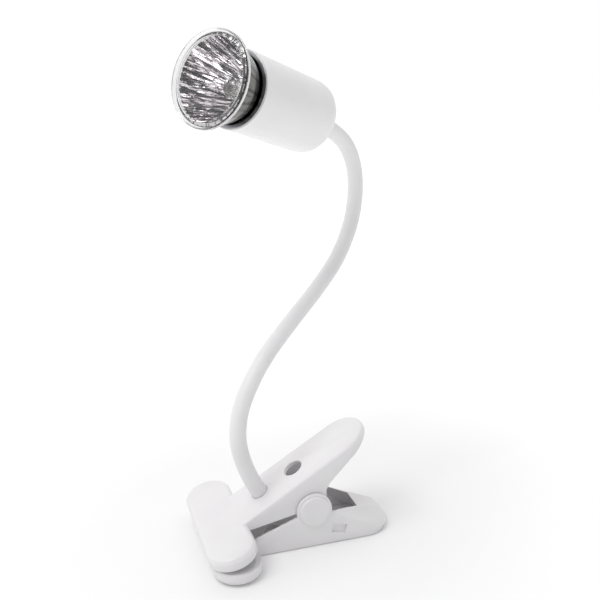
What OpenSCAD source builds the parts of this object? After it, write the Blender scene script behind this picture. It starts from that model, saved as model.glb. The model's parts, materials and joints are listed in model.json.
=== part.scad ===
// Clip-on reading lamp: spring clip, gooseneck, cylindrical head and a 50 mm reflector bulb.
// X runs along the clip (jaws at -X, handles at +X), Y across it and Z up.
// The origin is on the clip's flat underside, straight below the foot of the neck.

/* [Clip] */
// Length of the jaw bars across the clip
jaw_len = 90; // [70:1:110]
// Depth of the jaw bars along the clip
jaw_depth = 28; // [22:1:34]
// Thickness of the jaw bars
jaw_thick = 7.5; // [6:0.5:10]
// Tilt of the upper jaw bar against the lower one when closed
jaw_tilt = 13; // [8:1:16]
// Gap left at the front edge of the closed jaws
jaw_gap = 0.4; // [0.2:0.1:1]
// Thickness of the rubber jaw pads
pad_thick = 1.5; // [1:0.1:2]
// Width of the upper arm over its side walls
arm_w = 34; // [28:1:40]
// Slope of the upper arm's top face
arm_slope = 31; // [26:1:34]
// Length of the upper arm from the neck to the rear tip
arm_len = 73.5; // [65:0.5:90]
// Wall of the plastic clip halves
clip_wall = 2; // [1.6:0.1:2.6]
// Thickness of the upper arm's top plate and the lower arm's floor
clip_plate = 2.4; // [2:0.1:3]
// Height of the foot of the neck above the underside
root_z = 30; // [28:0.5:36]
// Length of the lower arm behind the neck
lower_len = 80; // [74:1:90]
// Radius of the round cord holes
cord_hole_r = 6; // [4:0.5:7]
// Distance of the upper cord hole from the neck
cord_hole_u = 24; // [20:1:30]
// Distance of the lower cord hole from the neck
lower_hole_x = 8.5; // [6:0.5:10]

/* [Pivot] */
// Distance of the pivot behind the neck
pivot_x = 28; // [26:0.5:32]
// Height of the pivot above the underside
pivot_z = 22.7; // [20:0.1:24]
// Radius of the steel pivot pin
pin_r = 2; // [1.5:0.1:2.5]
// Radius of the lower arm's ears
ear_r = 10.7; // [10:0.1:12]
// Radius of the round pivot caps
cap_r = 9.2; // [8:0.1:9.8]
// Radial running clearance of the pin
run_fit = 0.05; // [0.02:0.01:0.08]
// Side clearance between the two arms
side_gap = 0.3; // [0.2:0.05:0.6]
// Wire diameter of the torsion spring
wire_d = 1.6; // [1.2:0.1:2]
// Turns of the torsion spring
spring_turns = 7; // [5:1:8]

/* [Neck] */
// Outer diameter of the gooseneck's sleeve
neck_d = 9.8; // [8:0.1:12]
// Wall of the sleeve
sleeve_wall = 1; // [0.8:0.1:1.4]
// Bore of the coiled steel core
core_bore = 5; // [4:0.1:5.2]
// Diameter of one insulated lead
lead_d = 1.9; // [1.4:0.1:2]
// Length of neck between two bending points
seg_len = 33.3; // [28:0.1:40]
// Gap between neighbouring lengths at a bending point
bend_gap = 1.8; // [1.6:0.1:3]
// Compass direction of the plane that the neck is bent in
neck_turn = 35; // [0:1:60]
// Lean of the neck above its foot, towards the front
neck_lean = 15; // [5:1:20]

/* [Head] */
// Outer radius of the housing
house_r = 21; // [20.5:0.1:24]
// Length of the housing
house_len = 68; // [62:1:80]
// Radius of the housing's rounded rear edge
house_round = 8; // [5:1:10]
// Wall of the housing
house_wall = 2; // [1.6:0.1:2.6]
// Wall of the metal heat liner
liner_wall = 0.7; // [0.5:0.1:1]
// Distance the bulb stands out of the housing
bulb_out = 20.7; // [16:0.1:26]
// Radius of the bulb's rim
rim_r = 25; // [24:0.1:25.5]
// Length of the bulb from its rim to its base
bulb_len = 46; // [44:0.5:50]
// Radius of the bulb's ceramic base
base_r = 10.5; // [9:0.1:12]
// Spacing of the two bulb pins
pin_pitch = 10; // [10:0.1:10.5]
// Twist that locks the bulb
lock_turn = 20; // [15:1:25]
// Radius of the ceramic lampholder
holder_r = 13; // [12.5:0.1:15]
// Height of the ceramic lampholder
holder_h = 19; // [17:0.5:21]

/* [Hidden] */
$fn = 64;
white = [0.92, 0.91, 0.92];
steel = [0.72, 0.73, 0.75];
slip = 0.1;               // clearance of parts that slide together and stay
press_fit = 0.02;         // clearance of parts that are driven together
eps = 0.01;

// ---- Neck: bends of the nine lengths, in degrees; the first one turns off the arm's face ----
neck_bends = [0, 52, 21, 4, -6, -26, -38, -52, -15];
n_segs = len(neck_bends);
seg_rad = neck_d / 2;
core_r = seg_rad - sleeve_wall - slip;

function shift(v) = [[1, 0, 0, v.x], [0, 1, 0, v.y], [0, 0, 1, v.z], [0, 0, 0, 1]];
function turn_y(a) = [[cos(a), 0, sin(a), 0], [0, 1, 0, 0], [-sin(a), 0, cos(a), 0], [0, 0, 0, 1]];
function turn_z(a) = [[cos(a), -sin(a), 0, 0], [sin(a), cos(a), 0, 0], [0, 0, 1, 0], [0, 0, 0, 1]];
function along(m) = [m[0][2], m[1][2], m[2][2]];
function place(m) = [m[0][3], m[1][3], m[2][3]];
function bend_r(len, a) = len / (abs(a) * PI / 180);
// Frame at the end of a length that bends by a degrees towards its own +X
function arc_end(len, a) =
    shift([sign(a) * bend_r(len, a) * (1 - cos(a)), 0, bend_r(len, a) * sin(abs(a))]) * turn_y(a);

foot_dir = [-sin(arm_slope), 0, cos(arm_slope)];
rise_frame = turn_z(neck_turn) * turn_y(-neck_lean);
rise_dir = along(rise_frame);
foot_bend = acos(foot_dir * rise_dir);
foot_axis = cross(foot_dir, rise_dir) / norm(cross(foot_dir, rise_dir));
foot_side = cross(foot_axis, foot_dir);
foot_frame = [[foot_side.x, foot_axis.x, foot_dir.x, 0],
              [foot_side.y, foot_axis.y, foot_dir.y, 0],
              [foot_side.z, foot_axis.z, foot_dir.z, root_z], [0, 0, 0, 1]];
function seg_bend(k) = k == 0 ? foot_bend : neck_bends[k];
function seg_frame(k) =
    k == 0 ? foot_frame :
    k == 1 ? shift(place(foot_frame * arc_end(seg_len, foot_bend))) * rise_frame :
    seg_frame(k - 1) * arc_end(seg_len, neck_bends[k - 1]);
head_frame = seg_frame(n_segs);

// A 2-D profile carried along one length of the neck, from skip_a to skip_b short of its ends
module along_seg(k, skip_a, skip_b) {
    a = abs(seg_bend(k));
    r = bend_r(seg_len, a);
    ta = skip_a / seg_len * a;
    tb = skip_b / seg_len * a;
    multmatrix(seg_frame(k))
        rotate([0, 0, seg_bend(k) < 0 ? 180 : 0])
            translate([r, 0, 0]) rotate([90, 0, 0]) rotate([0, 0, 180 - a + tb])
                rotate_extrude(angle = a - ta - tb, $fn = 96)
                    translate([r, 0]) children();
}
module ring2d(ro, ri) {
    difference() {
        circle(r = ro, $fn = 48);
        circle(r = ri, $fn = 48);
    }
}
function skip_start(k) = k == 0 ? 0.1 : bend_gap / 2;
function skip_end(k) = k == n_segs - 1 ? 0.1 : bend_gap / 2;
nipple_in = 3;            // how far the end fittings reach into the sleeve

module neck_sleeve(k) {
    color(white) along_seg(k, skip_start(k), skip_end(k)) ring2d(seg_rad, seg_rad - sleeve_wall);
}
module neck_core(k) {
    color(steel)
        along_seg(k, k == 0 ? nipple_in : skip_start(k), k == n_segs - 1 ? nipple_in : skip_end(k))
            ring2d(core_r, core_bore / 2);
}
lead_off = lead_d / 2 + 0.15;
module neck_leads(k) {
    color([0.85, 0.85, 0.8]) along_seg(k, skip_start(k), skip_end(k))
        for (s = [-1, 1]) translate([0, s * lead_off]) circle(d = lead_d, $fn = 24);
}

// ---- Clip ----
lower_w = arm_w + 2 * (side_gap + clip_wall);
jaw_round = 3;
jaw_x = -24;                 // middle of the upper jaw bar
lower_jaw_x = -22;           // middle of the lower jaw bar
pad_edge = 4;                // plastic edge left round a jaw pad
upper_jaw_z = jaw_thick + jaw_gap + jaw_depth / 2 * sin(jaw_tilt);
handle_x = pivot_x + ear_r;

module pill(len, wide, inset = 0) {
    square([wide - 2 * inset, len - wide], center = true);
    for (s = [-1, 1]) translate([0, s * (len - wide) / 2]) circle(d = wide - 2 * inset, $fn = 48);
}
// Jaw bar: flat on one side, rounded on the other
module jaw_bar() {
    hull() {
        linear_extrude(eps) pill(jaw_len, jaw_depth, 0.6);
        translate([0, 0, 1]) linear_extrude(jaw_thick - jaw_round - 1) pill(jaw_len, jaw_depth);
        translate([0, 0, jaw_thick - 1]) linear_extrude(eps) pill(jaw_len, jaw_depth, 1.2);
        translate([0, 0, jaw_thick - eps]) linear_extrude(eps) pill(jaw_len, jaw_depth, jaw_round);
    }
}
module jaw_pocket(extra) {
    translate([0, 0, -1]) linear_extrude(pad_thick + 1 + extra)
        pill(jaw_len - 2 * (pad_edge - extra), jaw_depth - 2 * (pad_edge - extra));
}
module in_lower_jaw() {
    translate([lower_jaw_x, 0, jaw_thick]) rotate([180, 0, 0]) children();
}
module in_upper_jaw() {
    translate([jaw_x, 0, upper_jaw_z]) rotate([0, -jaw_tilt, 0]) children();
}
module jaw_pad() {
    linear_extrude(pad_thick) pill(jaw_len - 2 * pad_edge, jaw_depth - 2 * pad_edge);
}

// Plan outline of a lever: straight sides from x0 and a round rear end
module lever_plan(x0, x1, wide, corner, inset = 0) {
    translate([x0 + inset, -wide / 2 + inset]) square([x1 - corner - x0 - inset, wide - 2 * inset]);
    if (corner < wide / 2)
        translate([x1 - corner - 1, -wide / 2 + corner]) square([corner + 1 - inset, wide - 2 * corner]);
    for (s = [-1, 1]) translate([x1 - corner, s * (wide / 2 - corner)])
        circle(r = corner - inset, $fn = 48);
}
wall_front = lower_jaw_x + 6;
wall_rise = [pivot_x - ear_r - 0.1, pivot_z - 3.1];   // where the wall's sloping top edge meets the ear
module lower_side() {
    polygon([[wall_front, 0], [wall_front, jaw_thick - 0.1], wall_rise, [pivot_x, pivot_z],
             [handle_x - 0.5, pivot_z - 1], [handle_x + 3, 0]]);
    translate([pivot_x, pivot_z]) circle(r = ear_r);
}
handle_corner = 14;
// Small sunk panel low on each side of the handle
slot_x = handle_x + 5;
slot_z = 8.4;
slot_tilt = 13;
slot_len = 9;
slot_high = 5.5;
slot_deep = 1.4;
// Finger pad that closes the rear end of the handle's channel
pad_front = lower_len - 18;
// Points along the handle's upper edge: distance back, half width and height
handle_top = [[handle_x - 4, lower_w / 2 - 1.5, pivot_z - 2.2], [pad_front, 9.5, 12],
              [lower_len - 6.5, 5, 9.3]];
channel_w = arm_w + 2 * side_gap;
throat_w = 16;               // width of the channel where it runs under the finger pad
module handle_skin(inset) {
    hull() {
        translate([0, 0, inset]) linear_extrude(eps)
            lever_plan(handle_x - 6, lower_len - 3, lower_w, handle_corner, inset);
        translate([0, 0, 4]) linear_extrude(eps)
            lever_plan(handle_x - 6, lower_len, lower_w, handle_corner + 2, inset);
        for (p = handle_top, s = [-1, 1])
            translate([p.x, s * (p.y - inset), p.z - inset]) sphere(r = 1.2, $fn = 16);
    }
}
module pivot_bore(fit) {
    translate([pivot_x, lower_w, pivot_z]) rotate([90, 0, 0]) cylinder(r = pin_r + fit, h = 2 * lower_w);
}
module lower_arm() {
    color(white) difference() {
        union() {
            in_lower_jaw() jaw_bar();
            intersection() {
                translate([0, lower_w / 2, 0]) rotate([90, 0, 0]) linear_extrude(lower_w) lower_side();
                translate([wall_front, -lower_w / 2, 0])
                    cube([handle_x - wall_front + 5, lower_w, 60]);
            }
            handle_skin(0);
        }
        // Channel between the side walls, over the floor
        translate([wall_front + 8, -channel_w / 2, clip_plate])
            cube([handle_x - wall_front - 7.5, channel_w, 60]);
        // Channel of the handle, open on top and closed at the finger pad
        hull() {
            translate([0, 0, clip_plate]) linear_extrude(eps)
                lever_plan(handle_x - 6, lower_len - 12, lower_w, handle_corner - 4, clip_wall + 1);
            translate([handle_x - 6, -channel_w / 2, pivot_z + 2.3]) cube([1, channel_w, 1]);
            translate([pad_front - 4, -throat_w / 2, 14]) cube([1, throat_w, 1]);
            translate([pad_front, -throat_w / 2, 5]) cube([1, throat_w, 1]);
        }
        translate([handle_x - 6, -throat_w / 2, 12]) cube([pad_front - handle_x - 5.3, throat_w, 20]);
        for (s = [-1, 1]) translate([slot_x, s * lower_w / 2, slot_z]) rotate([0, slot_tilt, 0])
            cube([slot_len, 2 * slot_deep, slot_high], center = true);
        in_lower_jaw() jaw_pocket(slip);
        translate([lower_hole_x, 0, -1]) cylinder(r = cord_hole_r, h = clip_plate + 2);
        pivot_bore(press_fit);
    }
}
module lower_jaw_pad() {
    color([0.25, 0.25, 0.26]) in_lower_jaw() jaw_pad();
}

module in_arm() {
    translate([0, 0, root_z]) rotate([0, -arm_slope, 0]) children();
}
pivot_u = pivot_x * cos(arm_slope) + (pivot_z - root_z) * sin(arm_slope);
pivot_v = -pivot_x * sin(arm_slope) + (pivot_z - root_z) * cos(arm_slope);
lobe_r = ear_r - 1.2;
arm_front = -21;             // the lever runs this far into the upper jaw bar
module arm_side() {
    polygon([[arm_front, 0], [arm_front, -4], [arm_front + 6, -6.8],
             [pivot_u - lobe_r + 0.3, pivot_v + 4.3], [pivot_u - lobe_r, pivot_v],
             [pivot_u, pivot_v], [pivot_u + lobe_r, pivot_v], [pivot_u + lobe_r + 3.3, pivot_v + 5.8],
             [pivot_u + lobe_r + 7.3, pivot_v + 8.1], [arm_len - 19.5, -7.9], [arm_len - 6, -4.4],
             [arm_len, -3.4], [arm_len, 0]]);
    translate([pivot_u, pivot_v]) circle(r = lobe_r);
}
module arm_plan(inset) {
    lever_plan(arm_front, arm_len, arm_w, arm_w / 2, inset);
}
top_round = 2;               // rounding of the lever's upper edge
// The lever's plan as a block, with the edge of its top face rounded
module eased_lever() {
    hull() {
        translate([0, 0, -50]) linear_extrude(50 - top_round) arm_plan(0);
        for (a = [30 : 30 : 90]) translate([0, 0, -top_round * (1 - sin(a)) - eps])
            linear_extrude(eps) arm_plan(top_round * (1 - cos(a)));
    }
}
groove_r = seg_rad + 0.35;   // shallow groove that the foot of the sleeve sits in
groove_deep = 0.8;
module upper_arm() {
    color(white) difference() {
        union() {
            in_upper_jaw() jaw_bar();
            in_arm() intersection() {
                translate([0, arm_w / 2 + 1, 0]) rotate([90, 0, 0]) linear_extrude(arm_w + 2) arm_side();
                eased_lever();
            }
        }
        in_arm() intersection() {
            translate([0, 0, -50]) linear_extrude(50 - clip_plate) arm_plan(clip_wall);
            translate([arm_front + 12, -arm_w, -50]) cube([arm_len - arm_front, 2 * arm_w, 60]);
        }
        in_upper_jaw() jaw_pocket(slip);
        in_arm() translate([cord_hole_u, 0, -clip_plate - 1]) cylinder(r = cord_hole_r, h = clip_plate + 2);
        in_arm() translate([0, 0, -clip_plate - 1]) cylinder(r = core_r + slip, h = clip_plate + 2);
        in_arm() translate([0, 0, -groove_deep]) cylinder(r = groove_r, h = groove_deep + 1);
        pivot_bore(run_fit);
    }
}
module upper_jaw_pad() {
    color([0.25, 0.25, 0.26]) in_upper_jaw() jaw_pad();
}

cap_t = 1.4;
module pivot_pin() {
    color(steel) translate([pivot_x, lower_w / 2 + 0.6, pivot_z]) rotate([90, 0, 0])
        cylinder(r = pin_r, h = lower_w + 1.2);
}
module pivot_caps() {
    color(white) for (s = [-1, 1]) translate([pivot_x, s * lower_w / 2, pivot_z]) rotate([-s * 90, 0, 0])
        difference() {
            union() {
                cylinder(r = cap_r, h = cap_t - 0.5);
                cylinder(r1 = cap_r, r2 = cap_r - 0.6, h = cap_t, $fn = 96);
            }
            translate([0, 0, -1]) cylinder(r = pin_r + press_fit, h = 1.6);
        }
}

// Torsion spring: a helix round the pin with a leg on each lever
coil_r = pin_r + 1 + wire_d / 2;
coil_pitch = wire_d * 1.05;
function helix_pt(i, n) =
    [coil_r * cos(spring_turns * 360 * i / n), coil_pitch * spring_turns * (i / n - 0.5),
     coil_r * sin(spring_turns * 360 * i / n)];
module wire_sweep(pts, sides, r) {
    n = len(pts);
    rings = [for (i = [0 : n - 1])
        let(d = pts[min(i + 1, n - 1)] - pts[max(i - 1, 0)], t = d / norm(d),
            a = cross(t, [0, 1, 0]) / norm(cross(t, [0, 1, 0])), b = cross(t, a))
        for (j = [0 : sides - 1]) pts[i] + r * (cos(360 * j / sides) * a + sin(360 * j / sides) * b)];
    polyhedron(rings, concat(
        [[for (j = [0 : sides - 1]) j]],
        [for (i = [0 : n - 2], j = [0 : sides - 1])
            let(m = (j + 1) % sides)
            [i * sides + j, (i + 1) * sides + j, (i + 1) * sides + m, i * sides + m]],
        [[for (j = [sides - 1 : -1 : 0]) (n - 1) * sides + j]]));
}
leg_gap = wire_d / 2 + 0.3;
leg_u = arm_len - 21.5;      // how far up the arm the upper leg reaches
leg_v = -clip_plate - leg_gap;
// Far ends of the two legs, from the pivot: under the top plate and on the handle's floor
leg_up = [leg_u * cos(arm_slope) - leg_v * sin(arm_slope) - pivot_x, 0,
          root_z + leg_u * sin(arm_slope) + leg_v * cos(arm_slope) - pivot_z];
leg_down = [pad_front - 8 - pivot_x, 0, clip_plate + leg_gap - pivot_z];
module clip_spring() {
    n = spring_turns * 12;
    half = coil_pitch * spring_turns / 2;
    coil = [for (i = [0 : n]) helix_pt(i, n)];
    color(steel) translate([pivot_x, 0, pivot_z]) {
        wire_sweep(coil, 6, wire_d / 2);
        for (s = [-1, 1]) translate([coil_r, s * half, 0]) sphere(d = wire_d, $fn = 24);
        translate([coil_r, -half, 0]) rotate([0, atan2(leg_down.x - coil_r, leg_down.z), 0])
            cylinder(d = wire_d, h = norm([leg_down.x - coil_r, leg_down.z]), $fn = 24);
        translate([coil_r, half, 0]) rotate([0, atan2(leg_up.x - coil_r, leg_up.z), 0])
            cylinder(d = wire_d, h = norm([leg_up.x - coil_r, leg_up.z]), $fn = 24);
    }
}

// ---- Fittings that hold the neck at both ends; z runs from the seat into the clip or head ----
washer_t = 1;
nut_h = 4;
nut_flats = 12;
module nipple(reach) {
    difference() {
        translate([0, 0, -nipple_in + 6 * slip]) cylinder(r = core_r, h = nipple_in - 6 * slip + reach);
        translate([0, 0, -nipple_in - 1]) cylinder(r = core_bore / 2, h = nipple_in + reach + 2);
    }
}
module washer() {
    difference() {
        cylinder(r = nut_flats / 2 + 1.5, h = washer_t);
        translate([0, 0, -1]) cylinder(r = core_r + run_fit, h = washer_t + 2);
    }
}
module locknut() {
    difference() {
        cylinder(d = nut_flats / cos(30), h = nut_h, $fn = 6);
        translate([0, 0, -1]) cylinder(r = core_r + run_fit, h = nut_h + 2);
    }
}
module at_foot() {
    multmatrix(foot_frame) rotate([180, 0, 0]) children();
}
base_reach = clip_plate + washer_t + nut_h + 1;
module base_nipple() {
    color(steel) at_foot() nipple(base_reach);
}
module base_washer() {
    color(steel) at_foot() translate([0, 0, clip_plate]) washer();
}
module base_locknut() {
    color(steel) at_foot() translate([0, 0, clip_plate + washer_t]) locknut();
}
splice_h = 6;
splice_up = 2.2;             // bare stretch of lead before the cap
lead_drop = 5.5;
lead_turn = 58;
module clip_leads() {
    color([0.85, 0.85, 0.8]) at_foot() for (s = [-1, 1]) {
        translate([0, s * lead_off, 0]) cylinder(d = lead_d, h = base_reach + 0.6, $fn = 24);
        translate([0, s * lead_off, base_reach + 0.6]) sphere(d = lead_d, $fn = 24);
        translate([0, s * lead_off, base_reach + 0.6]) rotate([-s * lead_turn, 0, 0])
            cylinder(d = lead_d, h = lead_drop, $fn = 24);
    }
}
module splice_caps() {
    color([0.9, 0.88, 0.8]) at_foot() for (s = [-1, 1])
        translate([0, s * lead_off, base_reach + 0.6]) rotate([-s * lead_turn, 0, 0])
            translate([0, 0, splice_up]) difference() {
                cylinder(r1 = 2, r2 = 1.6, h = splice_h, $fn = 32);
                translate([0, 0, -1])
                    cylinder(d = lead_d + slip, h = lead_drop - splice_up + 1.1, $fn = 24);
            }
}

// ---- Head: z runs from the neck towards the light ----
module in_head() {
    multmatrix(head_frame) children();
}
module turned(points) {
    rotate_extrude($fn = 96) polygon(points);
}
liner_r = house_r - house_wall - slip;
lip_t = 0.8;
rear_t = 2.5;
module housing() {
    inner_round = house_round - house_wall;
    color(white) in_head() difference() {
        rotate_extrude($fn = 96) difference() {
            union() {
                translate([0, house_round]) square([house_r, house_len - lip_t - house_round]);
                translate([0, 0]) square([house_r - house_round, house_round]);
                translate([house_r - house_round, house_round]) intersection() {
                    circle(r = house_round);
                    translate([0, -house_round]) square(house_round);
                }
            }
            translate([0, house_round]) square([house_r - house_wall, house_len]);
            translate([0, rear_t]) square([house_r - house_round, house_len]);
            translate([house_r - house_round, house_round]) intersection() {
                circle(r = inner_round - 0.5);
                translate([0, -house_round]) square(house_round);
            }
        }
        translate([0, 0, -1]) cylinder(r = core_r + slip, h = rear_t + 2);
    }
}
liner_z = house_len - 22;
module heat_liner() {
    color([0.78, 0.78, 0.8]) in_head() difference() {
        union() {
            translate([0, 0, liner_z]) cylinder(r = liner_r, h = house_len - liner_z);
            translate([0, 0, house_len - lip_t]) cylinder(r = house_r - 0.4, h = lip_t);
        }
        translate([0, 0, liner_z - 1]) cylinder(r = liner_r - liner_wall, h = house_len);
    }
}
bracket_t = 1.2;
bracket_edge = 0.7;                   // strip width beside the core on each side
bracket_w = 2 * (core_r + bracket_edge);
bracket_x = 12.4;
bracket_tab = 6.5;                    // where the two screw tabs end towards the axis
rim_z = house_len + bulb_out;
base_z = rim_z - bulb_len;            // face of the bulb's base
holder_top = base_z - 0.3;
holder_z = holder_top - holder_h;
screw_x = 9.5;
screw_r = 1.5;
module holder_bracket() {
    color(steel) in_head() difference() {
        union() {
            translate([-bracket_x, -bracket_w / 2, rear_t]) cube([2 * bracket_x, bracket_w, bracket_t]);
            for (s = [-1, 1]) {
                translate([s * bracket_x - (s > 0 ? bracket_t : 0), -bracket_w / 2, rear_t])
                    cube([bracket_t, bracket_w, holder_z - rear_t]);
                translate([s > 0 ? bracket_tab : -bracket_x, -bracket_w / 2, holder_z - bracket_t])
                    cube([bracket_x - bracket_tab, bracket_w, bracket_t]);
            }
        }
        translate([0, 0, -1]) cylinder(r = core_r + run_fit, h = rear_t + bracket_t + 2);
        for (s = [-1, 1]) translate([s * screw_x, 0, holder_z - bracket_t - 1])
            cylinder(r = screw_r + press_fit, h = bracket_t + 2, $fn = 32);
    }
}
pin_shank = 1.3;
pin_head = 2.4;
pin_len = 7;
lock_t = 5;
cap_h = 6;
// Arc slot on the pin circle, as wide as a pin of radius r, over the locking twist
module twist_slot(r, h) {
    for (s = [0, 180]) rotate([0, 0, s]) {
        for (a = [90, 90 + lock_turn]) rotate([0, 0, a]) translate([pin_pitch / 2, 0, 0])
            cylinder(r = r, h = h, $fn = 32);
        rotate([0, 0, 90]) rotate_extrude(angle = lock_turn) translate([pin_pitch / 2 - r, 0])
            square([2 * r, h]);
    }
}
module holder_body() {
    color([0.93, 0.92, 0.88]) in_head() difference() {
        translate([0, 0, holder_z + cap_h]) cylinder(r = holder_r, h = holder_h - cap_h);
        translate([0, 0, holder_top - lock_t - 1]) twist_slot(pin_shank + 0.4, lock_t + 2);
        translate([0, 0, holder_z + cap_h - 1]) twist_slot(pin_head + 0.5, holder_h - cap_h - lock_t + 1);
        for (s = [0, 180]) rotate([0, 0, s + 90 + lock_turn])
            translate([pin_pitch / 2, 0, holder_top - lock_t - 1])
                cylinder(r = pin_head + 0.5, h = lock_t + 2, $fn = 32);
        for (s = [-1, 1]) translate([s * screw_x, 0, 0]) {
            cylinder(r = screw_r + 0.2, h = 100, $fn = 32);
            translate([0, 0, holder_top - 3]) cylinder(r = 3, h = 10, $fn = 32);
        }
    }
}
module holder_cap() {
    color([0.93, 0.92, 0.88]) in_head() difference() {
        translate([0, 0, holder_z]) cylinder(r = holder_r, h = cap_h - press_fit);
        for (s = [-1, 1]) {
            translate([s * screw_x, 0, 0]) cylinder(r = screw_r + 0.2, h = 100, $fn = 32);
            translate([0, s * pin_pitch / 2, 0]) cylinder(r = lead_d / 2 + 0.1, h = 100, $fn = 32);
        }
    }
}
contact_z = holder_z + cap_h;
module holder_contacts() {
    color([0.8, 0.65, 0.35]) in_head() for (s = [-1, 1]) translate([0, s * pin_pitch / 2, contact_z]) {
        translate([-1.8, -1.6, 0]) cube([3.6, 3.2, 0.5]);
        translate([-1.8, -1.6, 0]) cube([0.5, 3.2, 3]);
        translate([-1.8, -1.6, 2.6]) cube([3.4, 3.2, 0.4]);
    }
}
module holder_screws() {
    color(steel) in_head() for (s = [-1, 1]) translate([s * screw_x, 0, 0]) {
        translate([0, 0, holder_z - bracket_t - 3]) cylinder(r = screw_r, h = holder_h + bracket_t, $fn = 32);
        difference() {
            translate([0, 0, holder_top - 3]) cylinder(r = 2.7, h = 2, $fn = 48);
            translate([-3, -0.4, holder_top - 1.7]) cube([6, 0.8, 2]);
        }
    }
}
head_reach = rear_t + bracket_t + washer_t + nut_h + 1;
module head_nipple() {
    color(steel) in_head() nipple(head_reach);
}
module head_washer() {
    color(steel) in_head() translate([0, 0, rear_t + bracket_t]) washer();
}
module head_locknut() {
    color(steel) in_head() translate([0, 0, rear_t + bracket_t + washer_t]) locknut();
}
module head_leads() {
    z1 = head_reach + 0.6;
    z2 = holder_z - 1.5;
    dy = pin_pitch / 2 - lead_off;
    color([0.85, 0.85, 0.8]) in_head() for (s = [-1, 1]) {
        translate([0, s * lead_off, 0]) cylinder(d = lead_d, h = z1, $fn = 24);
        translate([0, s * lead_off, z1]) sphere(d = lead_d + 0.04, $fn = 24);
        translate([0, s * lead_off, z1]) rotate([-s * atan2(dy, z2 - z1), 0, 0])
            cylinder(d = lead_d, h = norm([dy, z2 - z1]), $fn = 24);
        translate([0, s * pin_pitch / 2, z2]) sphere(d = lead_d + 0.04, $fn = 24);
        translate([0, s * pin_pitch / 2, z2]) cylinder(d = lead_d, h = contact_z - z2, $fn = 24);
    }
}

// ---- Bulb ----
glass_t = 1.4;
mirror_r = 21.5;
neck_r = 8;
bowl_z = base_z + 10;
bowl_h = rim_z - 4 - bowl_z;
function bowl_r(t) = neck_r + (mirror_r + glass_t - neck_r) * pow(t, 0.62);
module bulb_reflector() {
    n = 14;
    outer = [for (i = [0 : n]) [bowl_r(i / n), bowl_z + bowl_h * i / n]];
    inner = [for (i = [n : -1 : 0]) [bowl_r(i / n) - glass_t, bowl_z + bowl_h * i / n]];
    color([0.75, 0.76, 0.78]) in_head() turned(concat(outer,
        [[rim_r, rim_z - 3.4], [rim_r, rim_z - 1.6], [mirror_r, rim_z - 1.6]], inner));
}
module bulb_glass() {
    color([0.85, 0.9, 0.92, 0.5]) in_head()
        turned([[0, rim_z - 1.5], [rim_r - 0.8, rim_z - 1.5], [rim_r - 0.3, rim_z - 0.9],
                [rim_r - 0.9, rim_z - 0.2], [rim_r - 4, rim_z], [0, rim_z]]);
}
module bulb_base() {
    color([0.93, 0.92, 0.88]) in_head() difference() {
        union() {
            translate([0, 0, base_z]) cylinder(r = base_r, h = 8);
            translate([0, 0, base_z + 8]) cylinder(r = neck_r - glass_t - 0.1, h = 5);
        }
        translate([0, 0, base_z + 9]) cylinder(r = 4.4, h = 10, $fn = 32);
    }
}
module bulb_pins() {
    color(steel) in_head() for (s = [-1, 1]) translate([0, s * pin_pitch / 2, base_z - pin_len]) {
        cylinder(r = pin_head, h = 1.5, $fn = 32);
        cylinder(r = pin_shank, h = pin_len, $fn = 32);
    }
}
capsule_z = base_z + 9;
module bulb_capsule() {
    color([0.9, 0.92, 0.95, 0.4]) in_head() difference() {
        union() {
            translate([-4, -1.5, capsule_z]) cube([8, 3, 7]);
            translate([0, 0, capsule_z + 6]) cylinder(r = 5, h = 12, $fn = 48);
            translate([0, 0, capsule_z + 18]) sphere(r = 5, $fn = 48);
        }
        translate([0, 0, capsule_z + 8]) cylinder(r = 4, h = 10, $fn = 48);
        translate([0, 0, capsule_z + 18]) sphere(r = 4, $fn = 48);
    }
}
module bulb_filament() {
    color([0.4, 0.4, 0.42]) in_head() translate([-2.6, 0, capsule_z + 14]) rotate([0, 90, 0])
        cylinder(r = 0.7, h = 5.2, $fn = 24);
}

lower_arm();
lower_jaw_pad();
pivot_pin();
pivot_caps();
clip_spring();
upper_arm();
upper_jaw_pad();
base_nipple();
base_washer();
base_locknut();
clip_leads();
splice_caps();
for (k = [0 : n_segs - 1]) {
    neck_sleeve(k);
    neck_core(k);
    neck_leads(k);
}
housing();
heat_liner();
holder_bracket();
holder_body();
holder_cap();
holder_contacts();
holder_screws();
head_nipple();
head_washer();
head_locknut();
head_leads();
bulb_reflector();
bulb_glass();
bulb_base();
bulb_pins();
bulb_capsule();
bulb_filament();
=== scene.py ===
# %% [markdown]
# # A clip-on reading lamp
# The lamp is a spring clip with two wide jaw bars, a bendable gooseneck and a small cylindrical
# head with a reflector bulb. The measured frame comes first: every piece below is made in its
# coordinates, in metres, so that nothing has to be fitted by eye afterwards.

# %% Load the measured frame
import json
import math

import bmesh
import bpy
from mathutils import Matrix, Vector


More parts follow.
